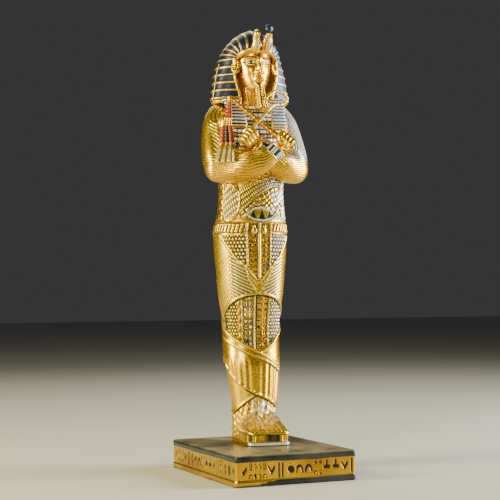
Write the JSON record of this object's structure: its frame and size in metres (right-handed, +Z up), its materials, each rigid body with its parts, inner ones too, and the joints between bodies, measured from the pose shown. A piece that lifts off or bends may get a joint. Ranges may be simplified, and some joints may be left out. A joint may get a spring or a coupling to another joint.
{
  "type": "pharaoh statue",
  "caption": "Standing royal figurine with crossed arms, crook and flail, striped headcloth and a carved, gilded shroud, on a flat rectangular plinth.",
  "frame": {"origin": "centre of the plinth's underside", "axes": "+Z up, the plinth's front and the figure face -Y, +X is the figure's left"},
  "size_m": [0.0788, 0.106, 0.2825],
  "materials": {
    "gold_paint": "antiqued gold paint on cast resin, with navy, silver and coral details",
    "dark_lacquer": "glossy near-black lacquer on cast resin, with a gold band on the sides"
  },
  "bodies": {
    "root": {"figure": "gold_paint", "plinth": "dark_lacquer"}
  },
  "joints": []
}
